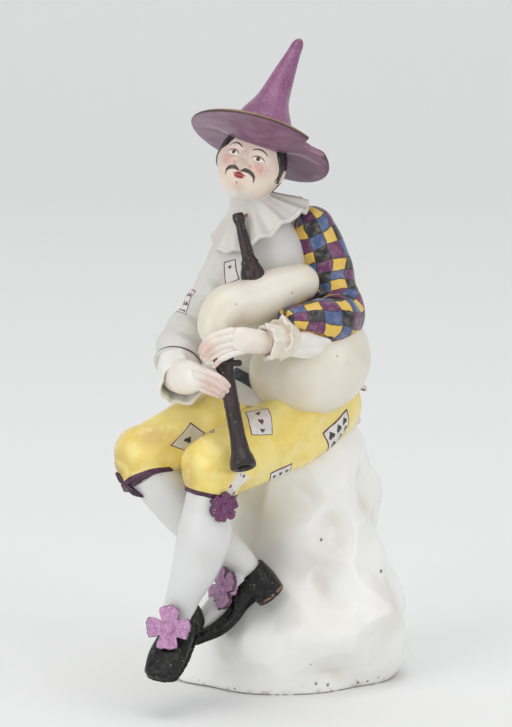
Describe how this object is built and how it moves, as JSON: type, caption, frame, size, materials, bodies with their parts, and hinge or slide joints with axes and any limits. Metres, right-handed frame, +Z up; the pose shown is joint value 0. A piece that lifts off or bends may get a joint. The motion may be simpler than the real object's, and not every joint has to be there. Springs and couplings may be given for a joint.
{
  "type": "commedia dell'arte figure",
  "caption": "Seated comedy bagpiper in glazed porcelain with a pointed hat, pleated ruff and crossed legs, on a rock base that stands by itself.",
  "frame": {"origin": "middle of the flat underside of the rock base", "axes": "+Z up from the underside, along the figure's height; -Y is the front, the side the figure faces; +X is the figure's left"},
  "size_m": [0.064, 0.0627, 0.1398],
  "materials": {
    "porcelain": "gloss glaze with painted enamels"
  },
  "bodies": {
    "root": {"bagpiper_figure": "porcelain"}
  },
  "joints": []
}
